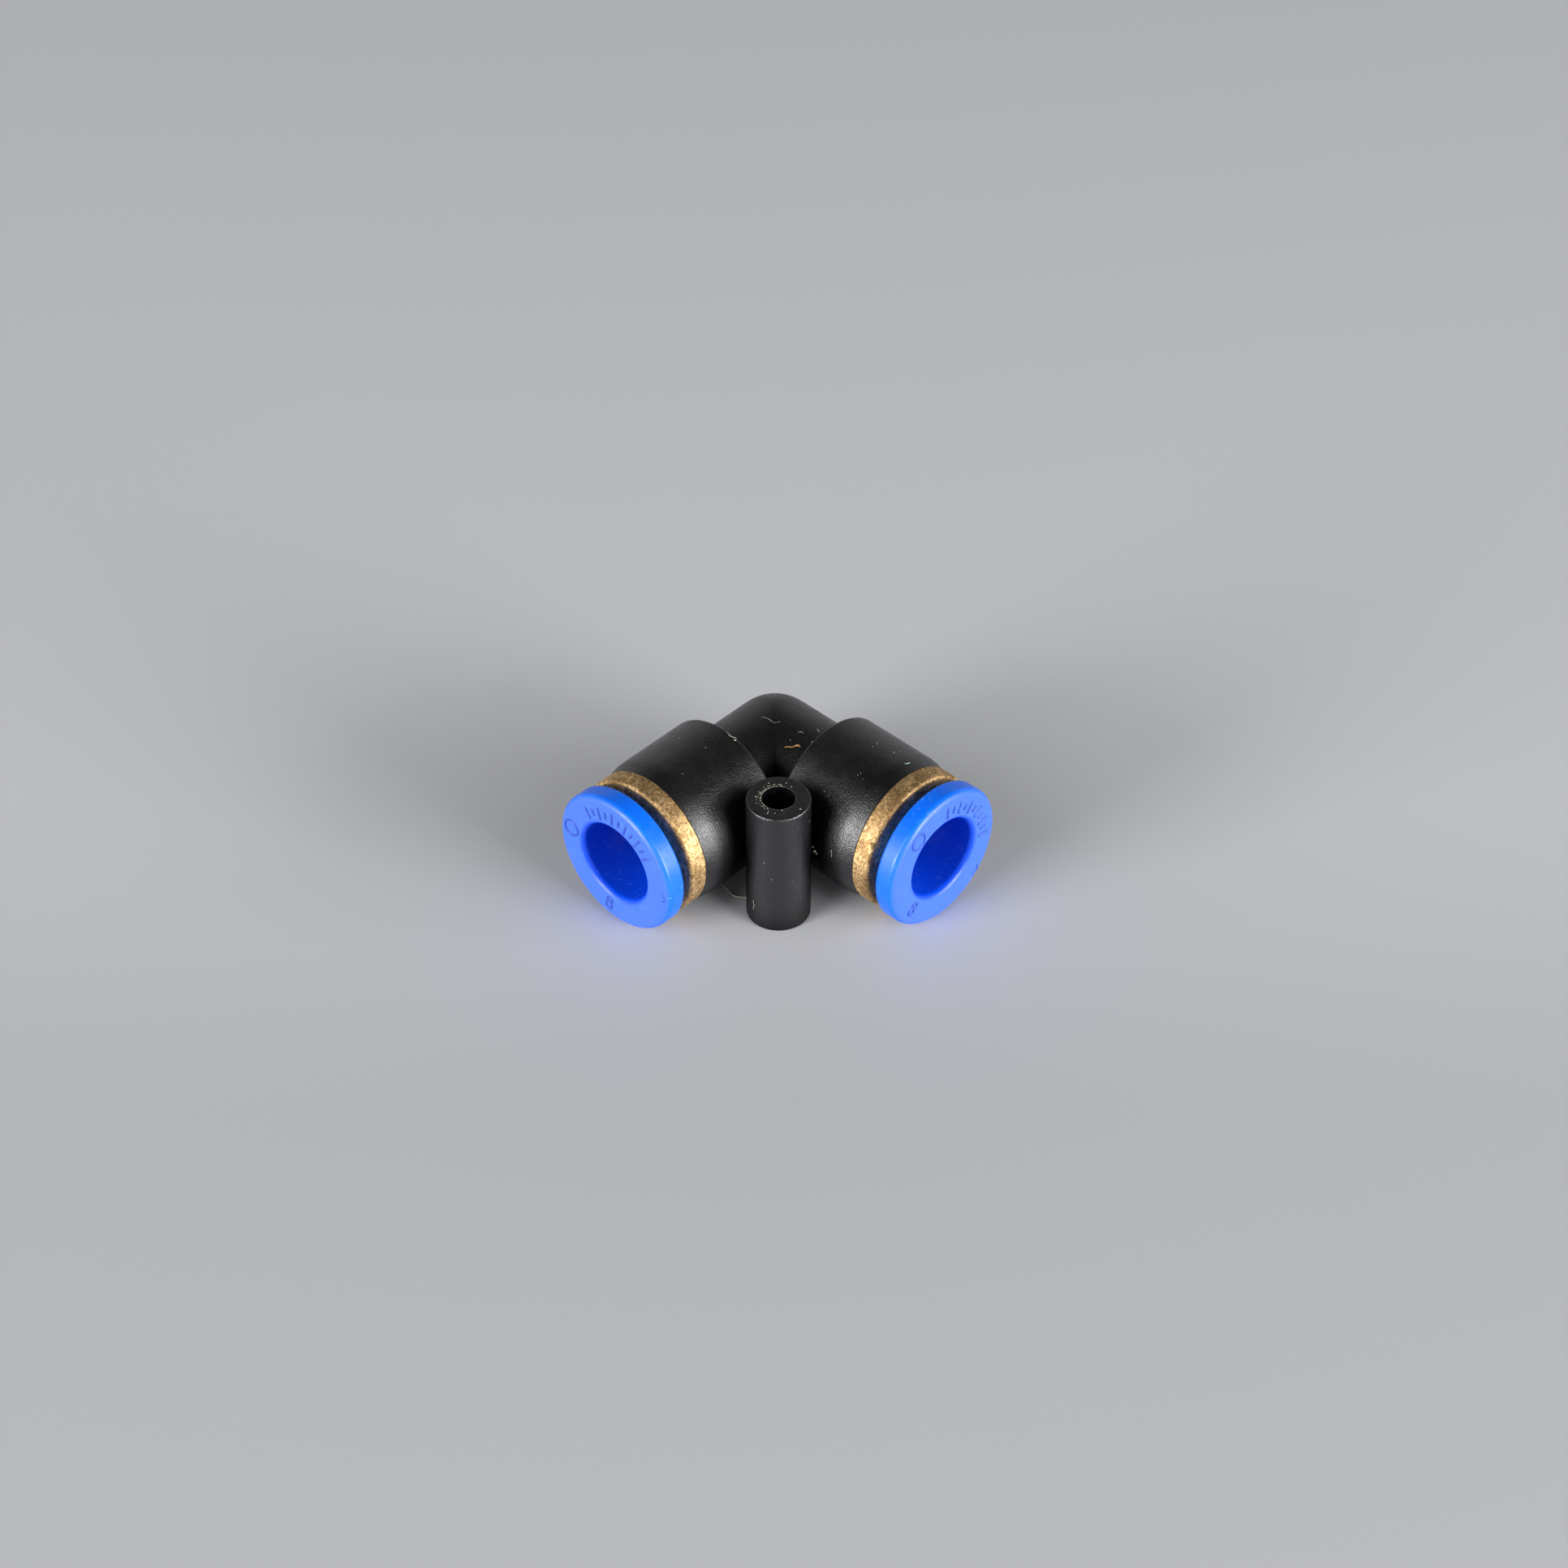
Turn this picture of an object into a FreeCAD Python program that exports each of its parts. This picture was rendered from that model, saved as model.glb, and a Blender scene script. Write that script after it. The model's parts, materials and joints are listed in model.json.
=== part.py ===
"""Elbow push-to-connect fitting for 8 mm tube, with an upright mounting boss.

Frame: origin on the mounting hole's axis at the resting plane, +Z up, right port towards +X,
left port towards -Y. The two port axes cross at (-OFFSET, OFFSET, AXIS_HEIGHT).
Each port's turned pieces are drawn as (s, r) profiles: s is the distance from that crossing
along the port axis, r the radius from the axis.
"""
import FreeCAD, Part
import math
import os

# Port layout (mm)
OFFSET = 10.0             # mounting hole axis to each port axis
BARREL_R = 7.3
AXIS_HEIGHT = BARREL_R    # the barrels rest on z = 0, as the boss does

# Moulded body
NECK_R = 5.5
CORNER_INSET = 0.5        # how far past the crossing the outer corner's round starts
BARREL_START = 6.85
BARREL_EDGE_ROUND = 0.3
TAPER_START = 15.1
TAPER_ROUND = 4.0
MOUTH = 16.6
MOUTH_R = 6.95
MOUTH_EDGE_ROUND = 0.15
PASSAGE_R = 3.05
TUBE_STOP = 6.4           # shoulder the inserted tube ends on
SOCKET_R = 4.1
SEAL_FLOOR = 9.9
SEAL_BORE_R = 5.6
SEAT_FLOOR = 11.7
COLLAR_BORE_R = 5.9

# Mounting boss and the web that ties it to the elbow
BOSS_R = 3.05
BOSS_HEIGHT = 14.1
BOSS_EDGE_ROUND = 0.2
HOLE_R = 1.6
WEB_THICKNESS = 3.0
WEB_HEIGHT = 5.7
PAD_SIZE = 2.4

# Brass collar
COLLAR_REAR = 13.4
COLLAR_FRONT = 18.5
COLLAR_RIM_R = 7.05
COLLAR_SKIRT_BORE_R = 5.5
COLLAR_LIP_REAR = 16.9
COLLAR_LIP_BORE_R = 4.97
COLLAR_EDGE_ROUND = 0.25

# Blue release sleeve, drawn at rest against its outer stop
SLEEVE_BORE_R = 4.1
SLEEVE_NOSE = 13.95
SLEEVE_NOSE_R = 4.4
SLEEVE_SKIRT_R = 4.9
BARB_R = 5.42
BARB_START = 15.2
BARB_FULL = 15.9
BARB_END = 16.7
FLANGE_BACK = 19.6
FLANGE_FRONT = 21.7
FLANGE_R = 7.2
FLANGE_FRONT_ROUND = 0.65
FLANGE_BACK_ROUND = 0.25
SLEEVE_LIP_ROUND = 0.6
SLOT_COUNT = 4
SLOT_WIDTH = 0.8
SLOT_END = 17.4

# Stainless lock claw
CLAW_RING_R = 5.82
CLAW_RING_BORE_R = 5.0
CLAW_REAR = 13.05
CLAW_THICKNESS = 0.25
CLAW_TIP_R = 4.05
CLAW_DROP = 0.75          # how far the teeth lean towards the tube stop
TOOTH_COUNT = 8
TOOTH_GAP = 0.5

# Claw seat
SEAT_FRONT = 12.95
SEAT_CONE_R = 5.18
SEAT_BORE_R = 4.15
SEAT_CONE_END = 12.13

# Lip seal
SEAL_HEEL_R = 4.25
SEAL_LIP_R = 4.05
SEAL_LIP_S = 10.7
SEAL_TOE_R = 4.4
SEAL_INNER_LEG_R = 4.6
SEAL_OUTER_LEG_R = 5.3
SEAL_GROOVE_R = 4.95
SEAL_GROOVE_S = 10.9

X_AXIS = FreeCAD.Vector(1, 0, 0)
Y_AXIS = FreeCAD.Vector(0, 1, 0)
Z_AXIS = FreeCAD.Vector(0, 0, 1)
CROSSING = FreeCAD.Vector(-OFFSET, OFFSET, AXIS_HEIGHT)

# Port name: rotation about +Z that takes local +X to the port's outward direction.
PORTS = {"right": 0, "left": -90}


def vec(x, y, z=0.0):
    return FreeCAD.Vector(x, y, z)


def rounded_face(corners):
    """Face from (x, y, round) corners; a round above zero becomes a tangent arc."""
    points = [vec(x, y) for x, y, _ in corners]
    starts, ends, arcs = [], [], []
    for i, (_, _, radius) in enumerate(corners):
        here, before, after = points[i], points[i - 1], points[(i + 1) % len(points)]
        to_before = (before - here).normalize()
        to_after = (after - here).normalize()
        if radius <= 0:
            starts.append(here)
            ends.append(here)
            arcs.append(None)
            continue
        half = to_before.getAngle(to_after) / 2
        reach = radius / math.tan(half)
        middle = here + (to_before + to_after).normalize() * (radius / math.sin(half) - radius)
        starts.append(here + to_before * reach)
        ends.append(here + to_after * reach)
        arcs.append(middle)
    edges = []
    for i in range(len(points)):
        if arcs[i] is not None:
            edges.append(Part.Arc(starts[i], arcs[i], ends[i]).toShape())
        following = starts[(i + 1) % len(points)]
        if ends[i].distanceToPoint(following) > 1e-6:
            edges.append(Part.makeLine(ends[i], following))
    return Part.Face(Part.Wire(edges))


def turned(*corners):
    """Solid of revolution about local +X from (s, r, round) corners; round may be left out."""
    full = [tuple(c) + (0,) * (3 - len(c)) for c in corners]
    return rounded_face(full).revolve(vec(0, 0), X_AXIS, 360)


def rod(radius, start, end):
    return Part.makeCylinder(radius, end - start, vec(start, 0, 0), X_AXIS)


def slots(count, width, depth_r, start, end):
    """Blades that cut evenly spaced radial slots, from the axis out to depth_r."""
    blade = Part.makeBox(end - start, width, depth_r, vec(start, -width / 2, 0))
    blades = [blade.copy() for _ in range(count)]
    for i, one in enumerate(blades):
        one.rotate(vec(0, 0), X_AXIS, 360 * i / count)
    return blades[0].fuse(blades[1:])


def at_port(shape, angle):
    """Turn a shape from the local port frame to its port and move it to the crossing."""
    placed = shape.copy()
    placed.rotate(vec(0, 0), Z_AXIS, angle)
    placed.translate(CROSSING)
    return placed


def on_both_ports(shape):
    return [at_port(shape, angle) for angle in PORTS.values()]


def outer_corner():
    """Mitred outside of the elbow, rounded about an upright axis just past the crossing."""
    reach = NECK_R + 1
    along_x = rod(NECK_R, -reach, reach)
    along_y = Part.makeCylinder(NECK_R, 2 * reach, vec(0, -reach, 0), Y_AXIS)
    beyond = Part.makeBox(reach, reach, 2 * reach, vec(-CORNER_INSET - reach, CORNER_INSET, -reach))
    half_chord = math.sqrt(NECK_R ** 2 - CORNER_INSET ** 2)
    top, bottom = vec(0, 0, half_chord), vec(0, 0, -half_chord)
    arc = Part.Arc(bottom, vec(0, NECK_R - CORNER_INSET, 0), top).toShape()
    outline = Part.Face(Part.Wire([arc, Part.makeLine(top, bottom)]))
    round_edge = outline.revolve(vec(0, 0), Z_AXIS, 90)
    round_edge.translate(vec(-CORNER_INSET, CORNER_INSET))
    corner = along_x.common(along_y).cut(beyond).fuse(round_edge)
    corner.translate(CROSSING)
    return corner


def boss():
    corners = [(HOLE_R, 0, 0), (BOSS_R, 0, BOSS_EDGE_ROUND),
               (BOSS_R, BOSS_HEIGHT, BOSS_EDGE_ROUND), (HOLE_R, BOSS_HEIGHT, 0)]
    face = rounded_face(corners)
    face.rotate(vec(0, 0), X_AXIS, 90)
    return face.revolve(vec(0, 0), Z_AXIS, 360)


def boss_web():
    """Diagonal web from the boss to the elbow, and a pad where the boss meets each barrel."""
    length = OFFSET * math.sqrt(2)
    web = Part.makeBox(length, WEB_THICKNESS, WEB_HEIGHT,
                       vec(0, -WEB_THICKNESS / 2, AXIS_HEIGHT - WEB_HEIGHT / 2))
    web.rotate(vec(0, 0), Z_AXIS, 135)
    low = AXIS_HEIGHT - PAD_SIZE / 2
    pad_right = Part.makeBox(PAD_SIZE, BOSS_R, PAD_SIZE, vec(-PAD_SIZE / 2, BOSS_R / 2, low))
    pad_left = Part.makeBox(BOSS_R, PAD_SIZE, PAD_SIZE, vec(-BOSS_R * 3 / 2, -PAD_SIZE / 2, low))
    return web.fuse([pad_right, pad_left])


def elbow_body():
    neck = rod(NECK_R, 0, BARREL_START + 1)
    barrel = turned((BARREL_START, 0), (BARREL_START, BARREL_R, BARREL_EDGE_ROUND),
                    (TAPER_START, BARREL_R, TAPER_ROUND), (MOUTH, MOUTH_R, MOUTH_EDGE_ROUND), (MOUTH, 0))
    outside = boss().fuse([boss_web(), outer_corner()] + on_both_ports(neck) + on_both_ports(barrel))
    inside = turned((0, 0), (0, PASSAGE_R), (TUBE_STOP, PASSAGE_R), (TUBE_STOP, SOCKET_R),
                    (SEAL_FLOOR, SOCKET_R), (SEAL_FLOOR, SEAL_BORE_R), (SEAT_FLOOR, SEAL_BORE_R),
                    (SEAT_FLOOR, COLLAR_BORE_R), (MOUTH + 1, COLLAR_BORE_R), (MOUTH + 1, 0))
    bend = Part.makeSphere(PASSAGE_R, CROSSING)
    hole = Part.makeCylinder(HOLE_R, BOSS_HEIGHT)
    return outside.cut(on_both_ports(inside)).cut(bend).cut(hole).removeSplitter()


def collar():
    return turned((COLLAR_REAR, COLLAR_SKIRT_BORE_R), (COLLAR_REAR, COLLAR_BORE_R),
                  (MOUTH, COLLAR_BORE_R), (MOUTH, COLLAR_RIM_R),
                  (COLLAR_FRONT, COLLAR_RIM_R, COLLAR_EDGE_ROUND),
                  (COLLAR_FRONT, COLLAR_LIP_BORE_R), (COLLAR_LIP_REAR, COLLAR_LIP_BORE_R),
                  (COLLAR_LIP_REAR, COLLAR_SKIRT_BORE_R))


def release_sleeve():
    sleeve = turned((SLEEVE_NOSE, SLEEVE_BORE_R), (SLEEVE_NOSE, SLEEVE_NOSE_R),
                    (BARB_START, SLEEVE_SKIRT_R), (BARB_FULL, BARB_R), (BARB_END, BARB_R),
                    (BARB_END, SLEEVE_SKIRT_R), (FLANGE_BACK, SLEEVE_SKIRT_R),
                    (FLANGE_BACK, FLANGE_R, FLANGE_BACK_ROUND),
                    (FLANGE_FRONT, FLANGE_R, FLANGE_FRONT_ROUND),
                    (FLANGE_FRONT, SLEEVE_BORE_R, SLEEVE_LIP_ROUND))
    return sleeve.cut(slots(SLOT_COUNT, SLOT_WIDTH, BARB_R + 1, SLEEVE_NOSE - 1, SLOT_END))


def lock_claw():
    front = CLAW_REAR + CLAW_THICKNESS
    claw = turned((CLAW_REAR, CLAW_RING_BORE_R), (CLAW_REAR, CLAW_RING_R), (front, CLAW_RING_R),
                  (front, CLAW_RING_BORE_R), (front - CLAW_DROP, CLAW_TIP_R),
                  (CLAW_REAR - CLAW_DROP, CLAW_TIP_R))
    return claw.cut(slots(TOOTH_COUNT, TOOTH_GAP, CLAW_RING_BORE_R, CLAW_REAR - 1, front + 1))


def claw_seat():
    return turned((SEAT_FLOOR, SEAT_BORE_R), (SEAT_FLOOR, COLLAR_BORE_R), (SEAT_FRONT, COLLAR_BORE_R),
                  (SEAT_FRONT, SEAT_CONE_R), (SEAT_CONE_END, SEAT_BORE_R))


def seal():
    return turned((SEAL_FLOOR, SEAL_TOE_R), (SEAL_FLOOR, SEAL_INNER_LEG_R),
                  (SEAL_GROOVE_S, SEAL_GROOVE_R), (SEAL_FLOOR, SEAL_OUTER_LEG_R),
                  (SEAL_FLOOR, SEAL_BORE_R), (SEAT_FLOOR, SEAL_BORE_R), (SEAT_FLOOR, SEAL_HEEL_R),
                  (SEAL_LIP_S, SEAL_LIP_R))


def main():
    os.makedirs("parts", exist_ok=True)
    nodes = {"elbow_body": elbow_body()}
    port_pieces = {"collar": collar(), "release_sleeve": release_sleeve(), "lock_claw": lock_claw(),
                   "claw_seat": claw_seat(), "seal": seal()}
    for side, angle in PORTS.items():
        for name, shape in port_pieces.items():
            nodes[side + "_" + name] = at_port(shape, angle)
    for name, shape in nodes.items():
        shape.exportStep("parts/" + name + ".step")


main()
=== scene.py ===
"""Looks for the elbow push-to-connect fitting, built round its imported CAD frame.

Lengths are written in millimetres and turned into metres when a mesh is made. A port's own
coordinates are s, the distance along its axis from the crossing of the two axes, and a radius
and an angle about that axis, the angle counted from level, anticlockwise seen from outside.
"""
import json
import math
import random

import bmesh
import bpy
from mathutils import Matrix, Vector, noise
from mathutils.bvhtree import BVHTree


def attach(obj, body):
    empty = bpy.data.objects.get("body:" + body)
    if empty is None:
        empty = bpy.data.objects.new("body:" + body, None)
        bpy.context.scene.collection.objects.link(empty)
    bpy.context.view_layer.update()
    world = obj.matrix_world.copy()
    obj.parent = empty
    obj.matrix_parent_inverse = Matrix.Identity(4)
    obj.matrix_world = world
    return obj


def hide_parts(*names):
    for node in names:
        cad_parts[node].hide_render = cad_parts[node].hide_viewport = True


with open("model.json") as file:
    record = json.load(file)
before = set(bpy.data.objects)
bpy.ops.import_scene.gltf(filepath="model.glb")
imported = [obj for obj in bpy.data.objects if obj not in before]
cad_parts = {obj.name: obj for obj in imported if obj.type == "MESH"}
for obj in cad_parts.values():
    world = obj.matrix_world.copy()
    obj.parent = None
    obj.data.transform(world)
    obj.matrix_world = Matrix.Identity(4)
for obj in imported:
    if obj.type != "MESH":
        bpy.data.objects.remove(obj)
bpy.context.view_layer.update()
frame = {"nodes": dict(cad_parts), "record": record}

MM = 0.001

# Camera, in degrees, metres and millimetres of lens
CAMERA_AZIMUTH = 43.58
CAMERA_ELEVATION = 41.82
CAMERA_ROLL = 0.098
CAMERA_DISTANCE = 400 * MM
CAMERA_LENS = 98.5
CAMERA_SENSOR = 36.0
AIM = Vector((0, 0, 7.0)) * MM
AIM_RIGHT = 0.509 * MM
AIM_UP = 6.591 * MM

# Ports
OFFSET = 10.0  # from the mounting hole's axis to each port's axis
AXIS_HEIGHT = 7.3
MOUTH = 16.6
FLANGE_FRONT = 21.7
FLANGE_OUTSIDE = (11.35, 11.66)  # from the rounded rim to the flat face, out from the hole's axis; the face's painted paler tone sets in across it
SLEEVE_BORE_EDGE = (4.15, 4.7)   # from the bore to the flange face, in radius; the bore's painted shade gives way across it

# Collar profile
COLLAR_REAR = 13.4
COLLAR_FRONT = 18.5
COLLAR_RIM_R = 7.05
COLLAR_SKIRT_R = 5.9
COLLAR_SKIRT_BORE_R = 5.5
COLLAR_LIP_REAR = 16.9
COLLAR_LIP_BORE_R = 4.97
COLLAR_FRONT_ROUND = 0.38
COLLAR_BACK_ROUND = 0.08
COLLAR_SEGMENTS = 480
WEAR_START_S = 17.9
WEAR_START_R = 6.2
DENT_ANGLE = 150.0
DENT_WIDTH = 2.4
DENT_DEPTH = 0.16

# Marks moulded on the flange face, all in relief
FACE_MIDDLE_R = 5.45
MARK_RADIUS = 0.15
MARK_SINK = 0.04
FIRST_TICK = 127.0
TICK_STEP = 9.0
TICK_COUNT = 11
LONG_TICK = 0.62
SHORT_TICK = 0.34
RING_R = 5.65
RING_ANGLE = 170.0
RING_SIZE = 0.84
EIGHT_ANGLE = -98.0
ARC_ANGLE = -3.0
RIGHT_SLEEVE_TURN = -41.0

# Mounting hole and the moulding flash round its top
HOLE_R = 1.6
BOSS_TOP = 14.1
FLASH_STEPS = 220
FLASH_SIDES = 8
HEAVY_ANGLE = 200
FLAKE_COUNT = 60

# Soft boxes: name, degrees to either side of the camera, elevation, left and right watts
LIGHTS = [("low", 55, 12, 11.4, 11.6), ("side", 78, 14, 1.0, 4.2), ("high", 48, 38, 2.6, 1.6)]
LIGHT_DISTANCE = 1.0
LIGHT_SIZE = 0.42
# Brightness of the room against the sine of the elevation, and its colour
ROOM_GLOW = [(0.0, 0.25), (0.12, 0.3), (0.2, 0.82), (0.36, 0.82), (0.46, 0.05), (0.8, 0.05),
             (1.0, 0.03)]
ROOM_TINT = (0.97, 0.985, 1.0)

FLOOR_HALF = 1.0  # metres
# The floor's tone falls towards the camera as painted shade, between these distances in front of
# the hole's axis
FLOOR_FADE = (-20, 30)
FLOOR_FAR = (0.53, 0.535, 0.553)
FLOOR_NEAR = (0.452, 0.457, 0.473)

rng = random.Random(8)


# ---------------------------------------------------------------- mesh helpers

def port_point(side, s, radius, angle):
    """World point, in metres, of a place given in a port's own coordinates."""
    a = math.radians(angle)
    across, high = radius * math.cos(a), AXIS_HEIGHT + radius * math.sin(a)
    if side == "right":
        return Vector((s - OFFSET, OFFSET + across, high)) * MM
    return Vector((across - OFFSET, OFFSET - s, high)) * MM


def new_piece(name, bm, body, material, sharp=30.0):
    """Turn a bmesh into a named piece that rides on a body; edges past sharp degrees stay crisp."""
    mesh = bpy.data.meshes.new(name)
    bmesh.ops.recalc_face_normals(bm, faces=bm.faces)
    bm.to_mesh(mesh)
    bm.free()
    mesh.shade_smooth()
    mesh.set_sharp_from_angle(angle=math.radians(sharp))
    mesh.materials.append(material)
    piece = bpy.data.objects.new(name, mesh)
    bpy.context.scene.collection.objects.link(piece)
    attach(piece, body)
    return piece


def tube(bm, path, radii, sides=10, closed=False):
    """Skin a line of points with rings of the given radii; an open tube gets domed ends."""
    count = len(path)
    tangents = []
    for i in range(count):
        ahead = path[(i + 1) % count] if closed or i < count - 1 else path[i]
        behind = path[i - 1] if closed or i > 0 else path[i]
        tangents.append((ahead - behind).normalized())
    side = tangents[0].orthogonal().normalized()
    rings = []
    for point, tangent, radius in zip(path, tangents, radii):
        side = (side - tangent * side.dot(tangent)).normalized()
        other = tangent.cross(side)
        turns = [2 * math.pi * k / sides for k in range(sides)]
        rings.append([bm.verts.new(point + (side * math.cos(t) + other * math.sin(t)) * radius)
                      for t in turns])
    pairs = list(zip(rings, rings[1:])) + ([(rings[-1], rings[0])] if closed else [])
    for first, second in pairs:
        for k in range(sides):
            j = (k + 1) % sides
            bm.faces.new((first[k], first[j], second[j], second[k]))
    if not closed:
        for ring, tip in ((rings[0], path[0] - tangents[0] * radii[0] * 0.6),
                          (rings[-1], path[-1] + tangents[-1] * radii[-1] * 0.6)):
            end = bm.verts.new(tip)
            for k in range(sides):
                bm.faces.new((ring[k], ring[(k + 1) % sides], end))


def smooth_line(points, steps):
    """Catmull-Rom line through a few points."""
    full = [points[0] * 2 - points[1]] + list(points) + [points[-1] * 2 - points[-2]]
    line = []
    for a, b, c, d in zip(full, full[1:], full[2:], full[3:]):
        for k in range(steps):
            t = k / steps
            line.append(0.5 * (2 * b + (c - a) * t + (2 * a - 5 * b + 4 * c - d) * t * t
                               + (3 * b - a - 3 * c + d) * t ** 3))
    return line + [points[-1]]


def lump(bm, centre, size, squash=0.6):
    """Irregular closed crumb, flattened by squash."""
    made = bmesh.ops.create_icosphere(bm, subdivisions=2, radius=1.0)["verts"]
    seed = Vector((rng.random(), rng.random(), rng.random())) * 50
    turn = Matrix.Rotation(rng.uniform(0, math.pi), 3, "Z")
    stretch = rng.uniform(0.6, 1.4)
    for vert in made:
        p = vert.co * (0.8 + 0.55 * noise.noise(vert.co * 1.4 + seed))
        vert.co = turn @ Vector((p.x * stretch, p.y, p.z * squash)) * size + centre


body_mesh = frame["nodes"]["elbow_body"].data
body_tree = BVHTree.FromPolygons([v.co.copy() for v in body_mesh.vertices],
                                 [tuple(p.vertices) for p in body_mesh.polygons])


def on_body(x, y, z):
    """Nearest point of the moulded body, in metres, and its outward direction."""
    place, normal, _, _ = body_tree.find_nearest(Vector((x, y, z)) * MM)
    return place, normal


# ---------------------------------------------------------------- material helpers

class Shader:
    """Small builder for one Principled material in object coordinates."""

    def __init__(self, name):
        self.material = bpy.data.materials.new(name)
        self.material.use_nodes = True
        self.tree = self.material.node_tree
        self.bsdf = self.tree.nodes["Principled BSDF"]
        self.coords = self.tree.nodes.new("ShaderNodeTexCoord").outputs["Object"]

    def link(self, value, socket):
        """Feed a socket from another socket, or set a plain number or colour on it."""
        if isinstance(value, bpy.types.NodeSocket):
            self.tree.links.new(value, socket)
        elif socket.type == "RGBA":
            socket.default_value = (*value, 1)
        else:
            socket.default_value = value

    def set(self, **values):
        """Feed the shader's own inputs, named with underscores for spaces."""
        for name, value in values.items():
            self.link(value, self.bsdf.inputs[name.replace("_", " ")])

    def noise(self, size, detail=3.0, rough=0.55, coords=None, distortion=0.0):
        """Noise whose features are about size millimetres across."""
        node = self.tree.nodes.new("ShaderNodeTexNoise")
        node.inputs["Scale"].default_value = 1 / (size * MM)
        node.inputs["Detail"].default_value = detail
        node.inputs["Roughness"].default_value = rough
        node.inputs["Distortion"].default_value = distortion
        self.tree.links.new(coords or self.coords, node.inputs["Vector"])
        return node.outputs["Fac"]

    def squeezed(self, scale):
        """Object coordinates scaled by (x, y, z), to draw a pattern out along an axis."""
        node = self.tree.nodes.new("ShaderNodeMapping")
        node.inputs["Scale"].default_value = scale
        self.tree.links.new(self.coords, node.inputs["Vector"])
        return node.outputs["Vector"]

    def specks(self, size, share, radius):
        """Sparse round dots: cells of a size, the share of them that has one, its radius."""
        cells = self.tree.nodes.new("ShaderNodeTexVoronoi")
        cells.inputs["Scale"].default_value = 1 / (size * MM)
        self.tree.links.new(self.coords, cells.inputs["Vector"])
        dot = self.span(cells.outputs["Distance"], radius / size, 0.6 * radius / size, 0, 1)
        chosen = self.math("LESS_THAN", self.channel(cells.outputs["Color"], 0), share)
        return self.math("MULTIPLY", dot, chosen)

    def span(self, value, from_low, from_high, low, high):
        """Map a value smoothly from one range to another, held at both ends."""
        node = self.tree.nodes.new("ShaderNodeMapRange")
        node.interpolation_type = "SMOOTHSTEP"
        for name, number in (("From Min", from_low), ("From Max", from_high),
                             ("To Min", low), ("To Max", high)):
            node.inputs[name].default_value = number
        self.tree.links.new(value, node.inputs["Value"])
        return node.outputs["Result"]

    def math(self, operation, first, second):
        node = self.tree.nodes.new("ShaderNodeMath")
        node.operation = operation
        self.link(first, node.inputs[0])
        self.link(second, node.inputs[1])
        return node.outputs[0]

    def axis_distance(self, index, middle):
        """Distance from the port axis that runs level at this middle on one object axis."""
        across = self.math("SUBTRACT", self.channel(self.coords, index), middle * MM)
        high = self.math("SUBTRACT", self.channel(self.coords, 2), AXIS_HEIGHT * MM)
        return self.math("SQRT", self.math("ADD", self.math("MULTIPLY", across, across),
                                           self.math("MULTIPLY", high, high)), 0.0)

    def openness(self, reach):
        """1 on an open surface, towards 0 in recesses narrower than reach millimetres."""
        node = self.tree.nodes.new("ShaderNodeAmbientOcclusion")
        node.samples = 8
        node.inputs["Distance"].default_value = reach * MM
        return node.outputs["AO"]

    def channel(self, vector, index):
        node = self.tree.nodes.new("ShaderNodeSeparateXYZ")
        self.tree.links.new(vector, node.inputs[0])
        return node.outputs[index]

    def mix(self, factor, first, second):
        node = self.tree.nodes.new("ShaderNodeMix")
        node.data_type = "RGBA"
        sockets = [s for s in node.inputs if s.type == "RGBA"]
        self.link(factor, node.inputs["Factor"])
        self.link(first, sockets[0])
        self.link(second, sockets[1])
        return next(s for s in node.outputs if s.type == "RGBA")

    def bump(self, *layers):
        """Stack (height, distance in millimetres, strength) layers and feed the normal."""
        normal = None
        for height, distance, strength in layers:
            node = self.tree.nodes.new("ShaderNodeBump")
            node.inputs["Distance"].default_value = distance * MM
            node.inputs["Strength"].default_value = strength
            self.tree.links.new(height, node.inputs["Height"])
            if normal:
                self.tree.links.new(normal, node.inputs["Normal"])
            normal = node.outputs["Normal"]
        self.tree.links.new(normal, self.bsdf.inputs["Normal"])


# ---------------------------------------------------------------- materials

def black_moulding():
    """Fine-grained black plastic with dust and faint scratches; its shine is dimmed in recesses as
    painted shade.
    """
    m = Shader("black_pbt")
    cloud = m.noise(5.0, 4)
    grain = m.noise(0.11, 1, 0.5)
    colour = m.mix(m.span(cloud, 0.35, 0.65, 0, 1),
                   (0.0025, 0.0022, 0.0029), (0.0048, 0.0043, 0.0053))
    dust = m.math("MAXIMUM", m.specks(0.7, 0.16, 0.035), m.specks(1.9, 0.16, 0.06))
    haze = m.math("MULTIPLY", m.span(m.noise(0.28, 5, 0.75), 0.60, 0.72, 0, 1),
                  m.span(m.noise(2.6, 3), 0.50, 0.66, 0, 0.12))
    colour = m.mix(m.math("MAXIMUM", dust, haze), colour, (0.085, 0.082, 0.078))
    scratch = m.span(m.noise(0.5, 2, 0.4, m.squeezed((1, 0.16, 1)), 0.6), 0.70, 0.74, 0, 1)
    rough = m.math("ADD", m.span(m.noise(1.4, 4), 0.3, 0.7, 0.28, 0.36),
                   m.math("MULTIPLY", scratch, 0.08))
    m.set(Base_Color=colour, Roughness=rough)
    # Painted shade: the reflection is dimmed where the occlusion mask finds recesses.
    m.set(Specular_IOR_Level=m.span(m.openness(5.5), 0.38, 0.92, 0.06, 0.8))
    m.bump((m.noise(1.6, 2), 0.015, 0.25), (grain, 0.045, 0.85),
           (m.noise(0.07, 1), 0.02, 0.7), (dust, 0.02, 0.5))
    return m.material


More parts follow.
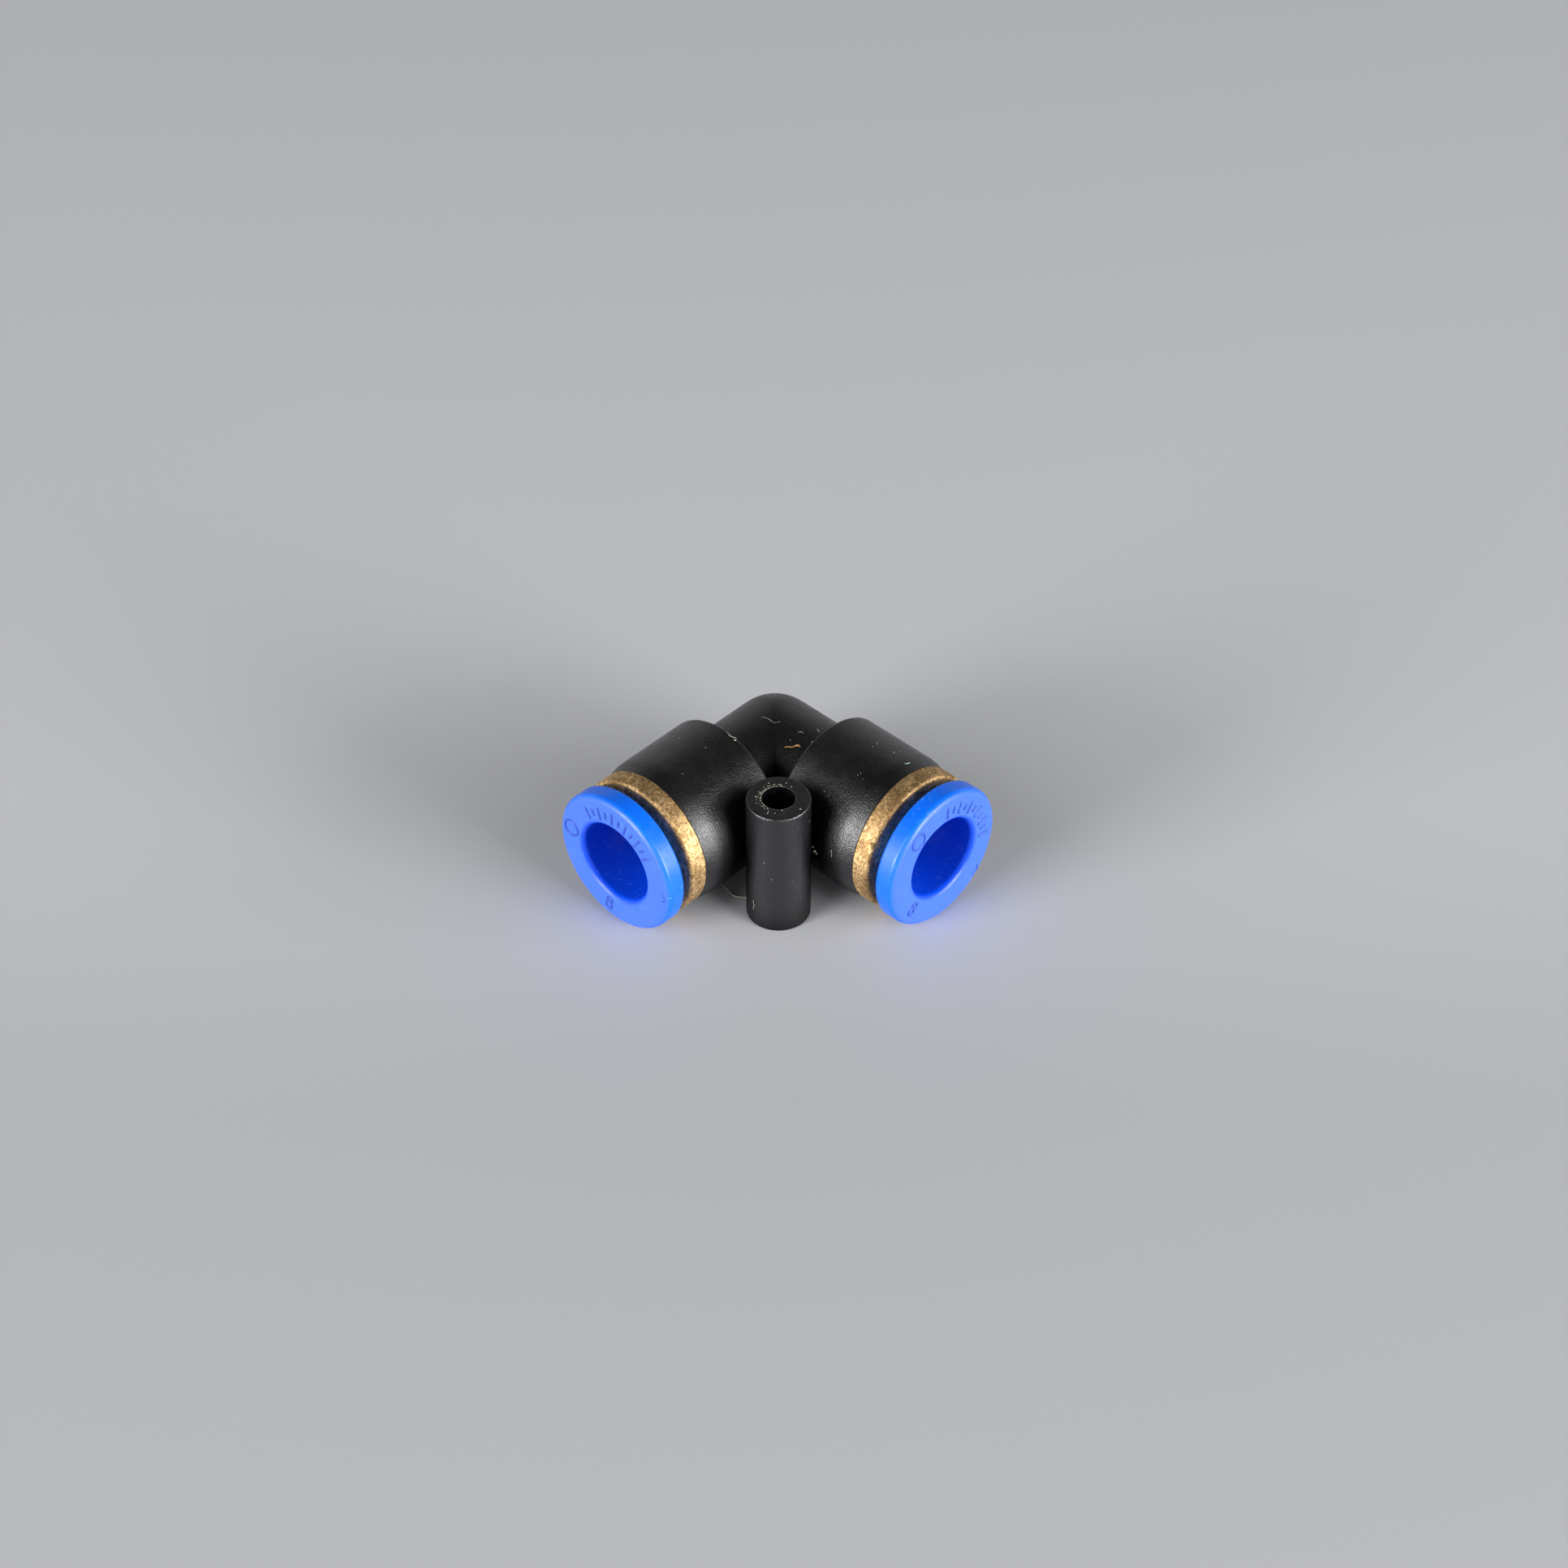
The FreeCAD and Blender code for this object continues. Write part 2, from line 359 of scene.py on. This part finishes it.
def blue_moulding(name, shade_factor=1.0):
    """Blue plastic, painted paler on the flange face as if lit and a deeper blue in the bore as
    painted shade; a factor below 1 darkens it as painted shade.
    """
    m = Shader(name)
    # Painted light: the flat flange face gets a paler blue than the rim, as if lit.
    rim, flat = FLANGE_OUTSIDE
    out_right = m.span(m.channel(m.coords, 0), rim * MM, flat * MM, 0, 1)
    out_left = m.span(m.channel(m.coords, 1), -rim * MM, -flat * MM, 0, 1)
    face = m.math("MAXIMUM", out_right, out_left)
    reach = m.math("MINIMUM", m.axis_distance(1, OFFSET), m.axis_distance(0, -OFFSET))
    # A factor below 1 darkens these blues as painted shade.
    base = m.mix(face, (0.001, 0.132 * shade_factor, 0.80 * shade_factor),
                 (0.048 * shade_factor, 0.142 * shade_factor, 0.77 * shade_factor))
    # Painted shade: the bore is given a deeper, darker blue than the face.
    bore, edge = SLEEVE_BORE_EDGE
    base = m.mix(m.span(reach, bore * MM, edge * MM, 0, 1), (0.001, 0.068, 0.78), base)
    scuff = m.math("MULTIPLY", m.span(m.noise(0.35, 6, 0.7, distortion=0.4), 0.55, 0.68, 0, 1),
                   m.span(m.noise(2.2, 3), 0.48, 0.62, 0, 0.5))
    colour = m.mix(scuff, base, (0.16, 0.33, 0.9))
    m.set(Base_Color=colour, Roughness=m.span(m.noise(0.9, 4), 0.3, 0.7, 0.3, 0.44))
    m.bsdf.inputs["Specular IOR Level"].default_value = 0.42
    m.bump((m.noise(1.1, 2), 0.03, 0.25), (m.noise(0.16, 2), 0.02, 0.5))
    return m.material


def brass():
    """Worn brass: patches, brown stain, dark pits and small bright glints."""
    m = Shader("brass")
    patch = m.span(m.noise(2.0, 6, 0.6, distortion=0.5), 0.38, 0.62, 0, 1)
    colour = m.mix(patch, (0.44, 0.28, 0.125), (0.74, 0.51, 0.25))
    stain = m.span(m.noise(0.3, 5, 0.75), 0.45, 0.6, 0, 0.86)
    colour = m.mix(stain, colour, (0.22, 0.125, 0.05))
    pits = m.specks(0.3, 0.22, 0.045)
    colour = m.mix(pits, colour, (0.08, 0.045, 0.022))
    glint = m.span(m.noise(0.2, 4, 0.8), 0.60, 0.67, 0, 0.8)
    colour = m.mix(glint, colour, (0.93, 0.76, 0.48))
    m.set(Base_Color=colour, Roughness=m.span(m.noise(0.4, 5, 0.65), 0.3, 0.7, 0.52, 0.7))
    m.bsdf.inputs["Metallic"].default_value = 1.0
    m.bump((m.noise(1.1, 3), 0.03, 0.3), (m.noise(0.22, 4, 0.7), 0.04, 0.7), (pits, -0.03, 0.6))
    return m.material


def mottled(name, dark, pale, size, low, high, metallic=0.0, relief=0.01):
    """Plain two-tone finish for the inside pieces and the crumbs."""
    m = Shader(name)
    m.set(Base_Color=m.mix(m.span(m.noise(size, 5, 0.65), 0.35, 0.65, 0, 1), dark, pale),
          Roughness=m.span(m.noise(size * 0.6, 3), 0.3, 0.7, low, high))
    m.bsdf.inputs["Metallic"].default_value = metallic
    m.bump((m.noise(size * 0.5, 4), relief, 0.5))
    return m.material


# Finishes of the CAD nodes, by the slot that the record gives each of them
FINISH = {
    "black_pbt": black_moulding(),
    "blue_pom": blue_moulding("blue_pom"),
    "brass": brass(),
    "stainless": mottled("stainless", (0.42, 0.42, 0.43), (0.66, 0.66, 0.67), 0.5, 0.22, 0.38, 1.0),
    "seat_resin": mottled("seat_resin", (0.52, 0.5, 0.43), (0.66, 0.64, 0.57), 0.8, 0.4, 0.55),
    "nbr_rubber": mottled("nbr_rubber", (0.012, 0.012, 0.012), (0.03, 0.03, 0.03), 0.6, 0.5, 0.7),
}
# Painted shade: the relief marks get a darker copy of the blue, standing in for the shade on their
# sides.
RELIEF_PAINTED_SHADE = blue_moulding("blue_relief_painted_shade", 0.55)
FLASH = mottled("hole_flash_finish", (0.008, 0.008, 0.008), (0.26, 0.26, 0.2), 0.3, 0.5, 0.8)
CRUMB = mottled("pale_crumb", (0.16, 0.16, 0.11), (0.5, 0.5, 0.4), 0.12, 0.5, 0.8)
HAIR = mottled("pale_hair", (0.22, 0.19, 0.15), (0.46, 0.43, 0.37), 0.3, 0.4, 0.6)
COPPER = mottled("copper_fibre", (0.38, 0.19, 0.06), (0.85, 0.52, 0.2), 0.25, 0.3, 0.5)
GREEN = mottled("green_fibre", (0.2, 0.34, 0.26), (0.4, 0.6, 0.5), 0.25, 0.4, 0.6)

for part in frame["record"]["subparts"]:
    node = frame["nodes"][part["node"]]
    node.data.materials.clear()
    node.data.materials.append(FINISH[part["material_slot"]])


# ---------------------------------------------------------------- collars

def collar_profile():
    """Closed (s, radius) outline of the brass collar, close-set where it shows."""
    def run(start, end, steps):
        return [(start[0] + (end[0] - start[0]) * k / steps,
                 start[1] + (end[1] - start[1]) * k / steps) for k in range(steps)]

    def arc(s, r, radius, start, steps=8):
        return [(s + radius * math.cos(math.radians(start - 90 * k / steps)),
                 r + radius * math.sin(math.radians(start - 90 * k / steps))) for k in range(steps)]

    back_r, front_r = COLLAR_BACK_ROUND, COLLAR_FRONT_ROUND
    line = run((COLLAR_REAR, COLLAR_SKIRT_BORE_R), (COLLAR_REAR, COLLAR_SKIRT_R), 2)
    line += run((COLLAR_REAR, COLLAR_SKIRT_R), (MOUTH, COLLAR_SKIRT_R), 6)
    line += run((MOUTH, COLLAR_SKIRT_R), (MOUTH, COLLAR_RIM_R - back_r), 6)
    line += arc(MOUTH + back_r, COLLAR_RIM_R - back_r, back_r, 180, 4)
    line += run((MOUTH + back_r, COLLAR_RIM_R), (COLLAR_FRONT - front_r, COLLAR_RIM_R), 24)
    line += arc(COLLAR_FRONT - front_r, COLLAR_RIM_R - front_r, front_r, 90)
    line += run((COLLAR_FRONT, COLLAR_RIM_R - front_r), (COLLAR_FRONT, COLLAR_LIP_BORE_R), 18)
    line += run((COLLAR_FRONT, COLLAR_LIP_BORE_R), (COLLAR_LIP_REAR, COLLAR_LIP_BORE_R), 5)
    line += run((COLLAR_LIP_REAR, COLLAR_LIP_BORE_R), (COLLAR_LIP_REAR, COLLAR_SKIRT_BORE_R), 2)
    line += run((COLLAR_LIP_REAR, COLLAR_SKIRT_BORE_R), (COLLAR_REAR, COLLAR_SKIRT_BORE_R), 6)
    return line


def worn(side, s, r, angle):
    """Slight inward wear of the collar's visible rim: waves, pits and, on the right, a dent."""
    place = port_point(side, s, r, angle) / MM
    outside = min(max((r - 6.3) / 0.5, 0), 1) * min(max((s - MOUTH - 0.02) / 0.2, 0), 1)
    edge = min(max((s - WEAR_START_S) / 0.4, 0), 1) * min(max((r - WEAR_START_R) / 0.5, 0), 1)
    wave = 0.5 + 0.5 * noise.noise(place * 0.9)
    fine = 0.5 + 0.5 * noise.noise(place * 3.4 + Vector((7, 3, 1)))
    r -= outside * (0.012 * wave + 0.014 * fine * fine) + edge * 0.05 * wave * fine
    s -= edge * (0.035 * fine + 0.05 * wave * wave)
    if side == "right":
        dent = math.exp(-((angle - DENT_ANGLE) / DENT_WIDTH) ** 2) * edge * DENT_DEPTH
        r -= dent * 0.7
        s -= dent
    return s, r


def collar(side):
    """The port's brass collar, worn, in place of the CAD one."""
    outline = collar_profile()
    bm = bmesh.new()
    rings = []
    for k in range(COLLAR_SEGMENTS):
        angle = 360 * k / COLLAR_SEGMENTS
        rings.append([bm.verts.new(port_point(side, *worn(side, s, r, angle), angle))
                      for s, r in outline])
    count = len(outline)
    for first, second in zip(rings, rings[1:] + rings[:1]):
        for i in range(count):
            j = (i + 1) % count
            bm.faces.new((first[i], first[j], second[j], second[i]))
    piece = new_piece(side + "_worn_collar", bm, "housing", FINISH["brass"], 40)
    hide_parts(side + "_collar")


# ---------------------------------------------------------------- marks on the flanges

def flange_marks(side, turn):
    """Generic relief on the flange face: a row of ticks, a ring and the tube size 8."""
    bm = bmesh.new()
    level = FLANGE_FRONT - MARK_SINK

    def stroke(points, closed=False, radius=MARK_RADIUS):
        line = [port_point(side, level, r, a + turn) for r, a in points]
        tube(bm, line, [radius * MM] * len(line), 10, closed)

    def loop(middle_r, middle_angle, wide, high, steps, start=0.0, sweep=360.0):
        """Ellipse on the face: wide along the rim, high along the radius."""
        turns = [math.radians(start + sweep * k / steps) for k in range(steps)]
        return [(middle_r + high * math.sin(t),
                 middle_angle - math.degrees(wide * math.cos(t) / middle_r)) for t in turns]

    for k in range(TICK_COUNT):
        half = SHORT_TICK if k % 2 else LONG_TICK
        angle = FIRST_TICK - TICK_STEP * k
        stroke([(FACE_MIDDLE_R + half * (2 * i / 6 - 1), angle) for i in range(7)])
    stroke(loop(RING_R, RING_ANGLE, RING_SIZE, RING_SIZE, 48), True, MARK_RADIUS * 0.9)
    stroke(loop(5.13, EIGHT_ANGLE, 0.30, 0.31, 28), True)
    stroke(loop(5.82, EIGHT_ANGLE, 0.36, 0.38, 28), True)
    stroke(loop(6.2, ARC_ANGLE, 0.45, 0.42, 14, 30, 150), False, MARK_RADIUS * 0.8)
    # The marks take the darker blue of painted shade.
    new_piece(side + "_flange_marks", bm, side + "_sleeve", RELIEF_PAINTED_SHADE, 60)


# ---------------------------------------------------------------- flash, crumbs and fibres

def hole_flash():
    """Ragged moulding flash and flakes round the hole's top, heavier on one side."""
    bm, flakes = bmesh.new(), bmesh.new()
    rings = []
    for k in range(FLASH_STEPS):
        t = 2 * math.pi * k / FLASH_STEPS
        heavy = max(0.0, math.cos(t - math.radians(HEAVY_ANGLE))) ** 0.7
        ragged = 0.5 + 0.5 * noise.noise(Vector((math.cos(t), math.sin(t), 0.3)) * 7)
        spiky = abs(noise.noise(Vector((math.cos(t), math.sin(t), 0.9)) * 19))
        size = 0.01 + heavy * (0.03 * ragged + 0.12 * spiky)
        middle_r = HOLE_R + size * 0.8
        out = Vector((math.cos(t), math.sin(t), 0))
        ring = []
        for i in range(FLASH_SIDES):
            a = 2 * math.pi * i / FLASH_SIDES
            ring.append(bm.verts.new((out * (middle_r + size * math.cos(a))
                                      + Vector((0, 0, BOSS_TOP + size * 0.6 * math.sin(a)))) * MM))
        rings.append(ring)
    for first, second in zip(rings, rings[1:] + rings[:1]):
        for i in range(FLASH_SIDES):
            j = (i + 1) % FLASH_SIDES
            bm.faces.new((first[i], first[j], second[j], second[i]))
    for _ in range(FLAKE_COUNT):
        t = math.radians(rng.gauss(HEAVY_ANGLE, 48))
        r = HOLE_R + 0.06 + abs(rng.gauss(0, 0.3))
        lump(flakes, Vector((r * math.cos(t), r * math.sin(t), BOSS_TOP)) * MM,
             rng.uniform(0.02, 0.08) * MM)
    new_piece("hole_flash", bm, "housing", FLASH, 60)
    new_piece("hole_flakes", flakes, "housing", CRUMB, 60)


def crumbs():
    """The few larger specks that lie on the moulded body: x, y, z and size."""
    bm = bmesh.new()
    specks = [(-3.9, -4.2, 11.3, 0.11), (-8.5, -4.0, 14.4, 0.05), (-9.4, 0.0, 14.6, 0.05),
              (-12.5, -0.4, 14.2, 0.05), (-8.3, 2.8, 14.4, 0.1), (1.6, 11.6, 14.4, 0.08),
              (1.4, 12.1, 14.3, 0.05), (1.7, 10.9, 14.5, 0.05), (3.6, 11.8, 14.4, 0.07),
              (3.7, 12.4, 14.1, 0.05), (3.1, 7.4, 14.1, 0.06), (3.2, 7.7, 14.2, 0.05),
              (3.8, 7.3, 14.1, 0.05), (-6.1, 8.0, 12.4, 0.07), (-4.2, 9.0, 12.7, 0.08),
              (1.2, 4.9, 12.5, 0.07), (1.8, 4.8, 12.4, 0.06), (1.4, -1.0, 14.1, 0.08),
              (0.7, -2.2, 14.1, 0.07), (2.5, 0.3, 14.1, 0.08), (0.9, -2.9, 8.5, 0.06),
              (1.6, -2.6, 6.6, 0.06), (2.8, -1.1, 6.1, 0.05), (2.8, 1.2, 12.2, 0.06),
              (2.1, 2.7, 7.0, 0.2), (1.9, 2.7, 7.4, 0.12), (2.3, 2.7, 6.8, 0.14),
              (-12.0, 2.9, 14.3, 0.06), (6.2, 6.2, 13.2, 0.05)]
    for x, y, z, size in specks:
        lump(bm, on_body(x, y, z)[0], size * MM, 0.75)
    new_piece("dust_crumbs", bm, "housing", CRUMB, 60)


def fibre(name, points, radius, material, waviness=0.0, sides=8):
    """Thin fibre lying on the body along a few points, thinner towards its ends."""
    line = smooth_line([Vector(p) for p in points], 10)
    path, radii = [], []
    for i, point in enumerate(line):
        place, normal = on_body(*point)
        wobble = 1 + waviness * noise.noise(Vector((i * 0.45, radius * 30, 2.0)))
        taper = 0.45 + 0.55 * math.sin(math.pi * i / (len(line) - 1)) ** 0.5
        path.append(place + normal * radius * 0.7 * MM)
        radii.append(radius * taper * wobble * MM)
    bm = bmesh.new()
    tube(bm, path, radii, sides)
    new_piece(name, bm, "housing", material, 60)


def foot_hair():
    """Pale hair from under the left barrel to the foot of the boss."""
    points = [(-6.1, -2.0, 0.6), (-5.8, -1.5, 0.3), (-5.0, -1.5, 0.06), (-4.3, -1.6, 0.06),
              (-3.9, -1.4, 0.06), (-3.4, -1.1, 0.1), (-2.85, -0.9, 0.2)]
    line = smooth_line([Vector(p) * MM for p in points], 12)
    bm = bmesh.new()
    tube(bm, line, [0.048 * MM] * len(line), 8)
    new_piece("foot_hair", bm, "housing", HAIR, 60)


for side, turn in (("left", 0.0), ("right", RIGHT_SLEEVE_TURN)):
    collar(side)
    flange_marks(side, turn)
hole_flash()
crumbs()
fibre("hair_on_elbow", [(-10.0, 8.2, 12.8), (-9.6, 8.45, 12.8), (-8.8, 8.55, 12.7),
                        (-8.4, 9.05, 12.7)], 0.027, HAIR)
fibre("copper_fibre", [(-6.1, 7.2, 12.0), (-5.8, 7.4, 12.1), (-5.4, 7.6, 12.2), (-5.1, 7.95, 12.4),
                       (-4.75, 8.0, 12.4)], 0.08, COPPER, 0.9)
fibre("green_fibre", [(5.4, 11.3, 14.4), (5.5, 11.55, 14.3), (5.55, 11.85, 14.2)], 0.034, GREEN)
fibre("hair_on_shoulder", [(-9.5, 2.95, 14.6), (-9.2, 2.85, 14.55), (-8.9, 2.8, 14.5),
                           (-8.55, 3.0, 14.4), (-8.5, 3.2, 14.2)], 0.03, HAIR)
fibre("hair_on_boss", [(-0.4, -3.05, 2.98), (-0.25, -3.05, 2.45), (-0.4, -3.05, 1.8)], 0.03, HAIR)
fibre("hair_on_neck", [(-6.1, 9.0, 12.7), (-5.95, 9.3, 12.7), (-5.6, 9.3, 12.7)], 0.028, HAIR)
fibre("hair_by_right_barrel", [(-5.1, 10.6, 12.8), (-4.85, 10.5, 12.8), (-4.6, 10.4, 12.8)],
      0.05, HAIR)
fibre("hair_low_on_right_barrel", [(4.1, 2.8, 8.4), (4.2, 2.75, 8.0), (4.25, 2.7, 7.6)],
      0.025, HAIR)
foot_hair()


# ---------------------------------------------------------------- floor, light and camera

def floor_finish():
    """Pale matt paper, painted a little darker towards the camera as shade."""
    m = Shader("floor")
    ahead = m.math("SUBTRACT", m.math("MULTIPLY", m.channel(m.coords, 0), 0.69),
                   m.math("MULTIPLY", m.channel(m.coords, 1), 0.72))
    far, near = FLOOR_FADE
    # Painted shade: the floor colour darkens towards the camera in place of the lights' falloff.
    tone = m.mix(m.span(ahead, far * MM, near * MM, 0, 1), FLOOR_FAR, FLOOR_NEAR)
    m.set(Base_Color=tone, Roughness=0.6)
    m.bsdf.inputs["Specular IOR Level"].default_value = 0.3
    return m.material


mesh = bpy.data.meshes.new("floor")
corners = ((-1, -1), (1, -1), (1, 1), (-1, 1))
mesh.from_pydata([(FLOOR_HALF * x, FLOOR_HALF * y, 0) for x, y in corners], [], [(0, 1, 2, 3)])
mesh.materials.append(floor_finish())
floor = bpy.data.objects.new("floor", mesh)
bpy.context.scene.collection.objects.link(floor)


def direction(azimuth, elevation):
    """Unit vector from the object; azimuth 0 looks from -Y, and 90 from +X."""
    a, e = math.radians(azimuth), math.radians(elevation)
    return Vector((math.sin(a) * math.cos(e), -math.cos(a) * math.cos(e), math.sin(e)))


def softbox(name, azimuth, elevation, power):
    """Square area light facing the origin."""
    data = bpy.data.lights.new(name, "AREA")
    data.shape = "SQUARE"
    data.size = LIGHT_SIZE
    data.energy = power
    light = bpy.data.objects.new(name, data)
    bpy.context.scene.collection.objects.link(light)
    back = direction(azimuth, elevation)
    light.location = back * LIGHT_DISTANCE
    light.rotation_mode = "QUATERNION"
    light.rotation_quaternion = back.to_track_quat("Z", "Y")


for tag, turn, height, left_power, right_power in LIGHTS:
    softbox("left_box_" + tag, CAMERA_AZIMUTH - turn, height, left_power)
    softbox("right_box_" + tag, CAMERA_AZIMUTH + turn, height, right_power)

# The room is bright only near the horizon; the fitting reflects a dark ceiling.
world = bpy.data.worlds.new("studio")
bpy.context.scene.world = world
world.use_nodes = True
sky = world.node_tree
way_up = sky.nodes.new("ShaderNodeSeparateXYZ")
sky.links.new(sky.nodes.new("ShaderNodeTexCoord").outputs["Generated"], way_up.inputs[0])
glow = sky.nodes.new("ShaderNodeValToRGB")
sky.links.new(way_up.outputs[2], glow.inputs[0])
glow.color_ramp.elements[1].position = ROOM_GLOW[-1][0]
for height, _ in ROOM_GLOW[1:-1]:
    glow.color_ramp.elements.new(height)
for stop, (_, bright) in zip(glow.color_ramp.elements, ROOM_GLOW):
    stop.color = (*(bright * tint for tint in ROOM_TINT), 1)
sky.links.new(glow.outputs[0], sky.nodes["Background"].inputs["Color"])
sky.nodes["Background"].inputs["Strength"].default_value = 1.0
bpy.context.scene.view_settings.view_transform = "Standard"

roll = math.radians(CAMERA_ROLL)
back = direction(CAMERA_AZIMUTH, CAMERA_ELEVATION)
level = direction(CAMERA_AZIMUTH + 90, 0)
upward = back.cross(level)
right = level * math.cos(roll) + upward * math.sin(roll)
up = upward * math.cos(roll) - level * math.sin(roll)
camera_data = bpy.data.cameras.new("camera")
camera_data.lens = CAMERA_LENS
camera_data.sensor_width = CAMERA_SENSOR
camera_data.clip_start = 0.01
camera = bpy.data.objects.new("camera", camera_data)
bpy.context.scene.collection.objects.link(camera)
spot = AIM + right * AIM_RIGHT + up * AIM_UP + back * CAMERA_DISTANCE
camera.matrix_world = Matrix.Translation(spot) @ Matrix((right, up, back)).transposed().to_4x4()
bpy.context.scene.camera = camera
